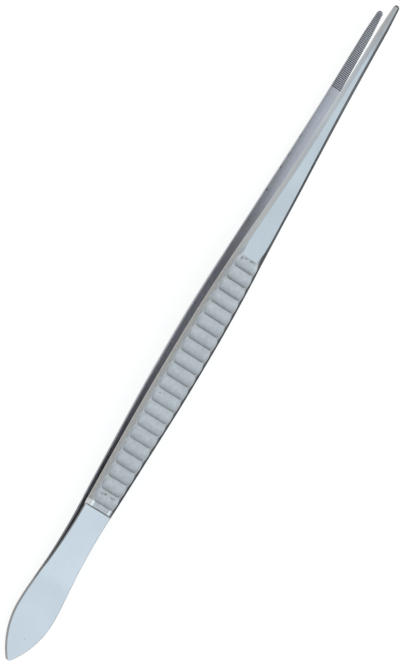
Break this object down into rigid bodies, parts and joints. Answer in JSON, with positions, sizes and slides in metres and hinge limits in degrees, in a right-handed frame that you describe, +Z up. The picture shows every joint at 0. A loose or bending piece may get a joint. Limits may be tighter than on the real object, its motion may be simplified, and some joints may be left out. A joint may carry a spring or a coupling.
{
  "type": "thumb forceps",
  "caption": "Slender straight thumb forceps of satin steel: welded leaf-shaped heel, fluted spring handles and narrow jaws with cross-cut teeth.",
  "frame": {"origin": "on the table, under the middle of the object's box, as it lies on the back of its lower blade", "axes": "+X along the length from the welded heel to the jaws, +Y across the blades, +Z up, out of the upper blade's back"},
  "size_m": [0.2502, 0.0132, 0.0208],
  "materials": {
    "blade_steel": "satin"
  },
  "bodies": {
    "root": {"upper_blade": "blade_steel", "lower_blade": "blade_steel"}
  },
  "joints": []
}
